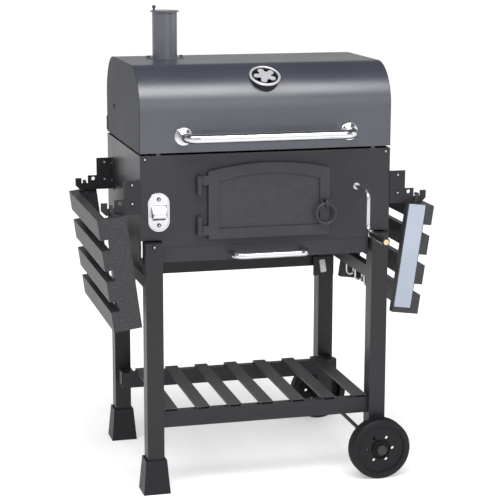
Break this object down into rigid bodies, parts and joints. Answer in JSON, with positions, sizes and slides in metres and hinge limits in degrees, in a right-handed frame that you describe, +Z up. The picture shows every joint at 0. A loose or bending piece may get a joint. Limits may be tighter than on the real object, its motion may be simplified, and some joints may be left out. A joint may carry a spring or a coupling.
{
  "type": "charcoal trolley barbecue",
  "caption": "Charcoal barbecue on a wheeled frame: hinged barrel lid with chimney, firebox with stoking door, ash drawer, crank-raised tray and hanging side tables.",
  "frame": {"origin": "on the floor, under the middle of the bounding box", "axes": "+X to the right as seen from the front, +Y towards the back, +Z up"},
  "size_m": [0.8076, 0.703, 1.1212],
  "materials": {
    "lid_paint": "satin",
    "body_paint": "satin",
    "frame_paint": "satin",
    "slat_paint": "textured matt",
    "cast_door": "painted matt",
    "chrome": "polished",
    "bright_steel": "brushed",
    "zinc": "zinc plated",
    "foot_plastic": "matt",
    "wheel_plastic": "matt",
    "grip_plastic": "semi gloss",
    "bare_steel": "mill finish"
  },
  "bodies": {
    "stand": {"front_panel": "body_paint", "rear_panel": "body_paint", "left_side_panel": "body_paint", "right_side_panel": "body_paint", "firebox_floor": "body_paint", "grate_ledges": "body_paint", "left_cooking_grate": "bare_steel", "right_cooking_grate": "bare_steel", "seam_spacers": "body_paint", "lid_hinge_brackets": "frame_paint", "door_hinge_posts": "body_paint", "drawer_runners": "body_paint", "crank_bushings": "bare_steel", "tray_guides": "body_paint", "front_left_leg": "frame_paint", "back_left_leg": "frame_paint", "front_right_leg": "frame_paint", "back_right_leg": "frame_paint", "front_foot": "foot_plastic", "back_foot": "foot_plastic", "left_side_apron": "frame_paint", "right_side_apron": "frame_paint", "rear_apron": "frame_paint", "shelf_front_rail": "frame_paint", "shelf_rear_rail": "frame_paint", "shelf_slats": "slat_paint", "wheel_axle": "zinc", "axle_caps": "wheel_plastic", "left_hook_brackets": "frame_paint", "right_hook_brackets": "frame_paint", "body_bolts": "zinc", "bottle_opener": "bright_steel", "utensil_hooks": "chrome"},
    "lid": {"lid_shell": "lid_paint", "lid_left_end": "lid_paint", "lid_right_end": "lid_paint", "lid_hinge_arms": "frame_paint", "lid_handle": "chrome", "handle_rosettes": "chrome", "chimney": "lid_paint", "lid_bolts": "zinc", "vent_housing": "chrome"},
    "smoke_cap": {"chimney_cap": "lid_paint"},
    "shutter": {"vent_shutter": "bright_steel"},
    "door": {"door_panel": "cast_door"},
    "ring": {"ring_handle": "cast_door"},
    "drawer": {"ash_drawer": "body_paint", "drawer_handle": "chrome"},
    "crank": {"crank_rod": "zinc", "crank_pinions": "bare_steel"},
    "grip": {"crank_grip": "grip_plastic"},
    "lift": {"charcoal_tray": "body_paint", "tray_racks": "bare_steel", "charcoal_grate": "bare_steel"},
    "wheel_front": {"front_wheel": "wheel_plastic"},
    "wheel_back": {"back_wheel": "wheel_plastic"},
    "left_table": {"left_table_frame": "frame_paint", "left_table_slats": "slat_paint"},
    "right_table": {"right_table_frame": "frame_paint", "right_table_slats": "slat_paint"}
  },
  "joints": [
    {"name": "lid_hinge", "type": "hinge", "parent": "stand", "child": "lid", "pos_m": [0, 0.2985, 0.786], "axis": [-1, 0, 0], "range_deg": [0, 85]},
    {"name": "chimney_cap_swivel", "type": "hinge", "parent": "lid", "child": "smoke_cap", "pos_m": [-0.208, 0.1425, 1.1056], "axis": [0, 0, 1], "range_deg": [0, 120]},
    {"name": "vent_turn", "type": "hinge", "parent": "lid", "child": "shutter", "pos_m": [0, -0.10859, 0.9711], "axis": [0, -0.515, 0.8572], "range_deg": [0, 36]},
    {"name": "door_hinge", "type": "hinge", "parent": "stand", "child": "door", "pos_m": [-0.163, -0.1425, 0.6875], "axis": [0, 0, -1], "range_deg": [0, 115]},
    {"name": "ring_swing", "type": "hinge", "parent": "door", "child": "ring", "pos_m": [0.138, -0.1531, 0.6743], "axis": [-1, 0, 0], "range_deg": [0, 85]},
    {"name": "drawer_slide", "type": "slide", "parent": "stand", "child": "drawer", "axis": [0, -1, 0], "range_m": [0, 0.25]},
    {"name": "tray_lift", "type": "slide", "parent": "stand", "child": "lift", "axis": [0, 0, 1], "range_m": [0, 0.06]},
    {"name": "crank_turn", "type": "hinge", "parent": "stand", "child": "crank", "pos_m": [0.217, 0, 0.71], "axis": [0, 1, 0], "range_deg": [0, 276]},
    {"name": "grip_spin", "type": "hinge", "parent": "crank", "child": "grip", "pos_m": [0.217, -0.2955, 0.617], "axis": [0, 1, 0], "continuous": true},
    {"name": "wheel_front_spin", "type": "hinge", "parent": "stand", "child": "wheel_front", "pos_m": [0.272, -0.1745, 0.074], "axis": [0, 1, 0], "continuous": true},
    {"name": "wheel_back_spin", "type": "hinge", "parent": "stand", "child": "wheel_back", "pos_m": [0.272, 0.3275, 0.074], "axis": [0, 1, 0], "continuous": true},
    {"name": "left_table_fold", "type": "hinge", "parent": "stand", "child": "left_table", "pos_m": [-0.368, 0.0465, 0.6848], "axis": [0, 1, 0], "range_deg": [0, 97.7]},
    {"name": "right_table_fold", "type": "hinge", "parent": "stand", "child": "right_table", "pos_m": [0.368, 0.0465, 0.6848], "axis": [0, -1, 0], "range_deg": [0, 97.7]}
  ],
  "couplings": [
    {"joint": "crank_turn", "follows": "tray_lift", "rad_per_m": 80}
  ]
}
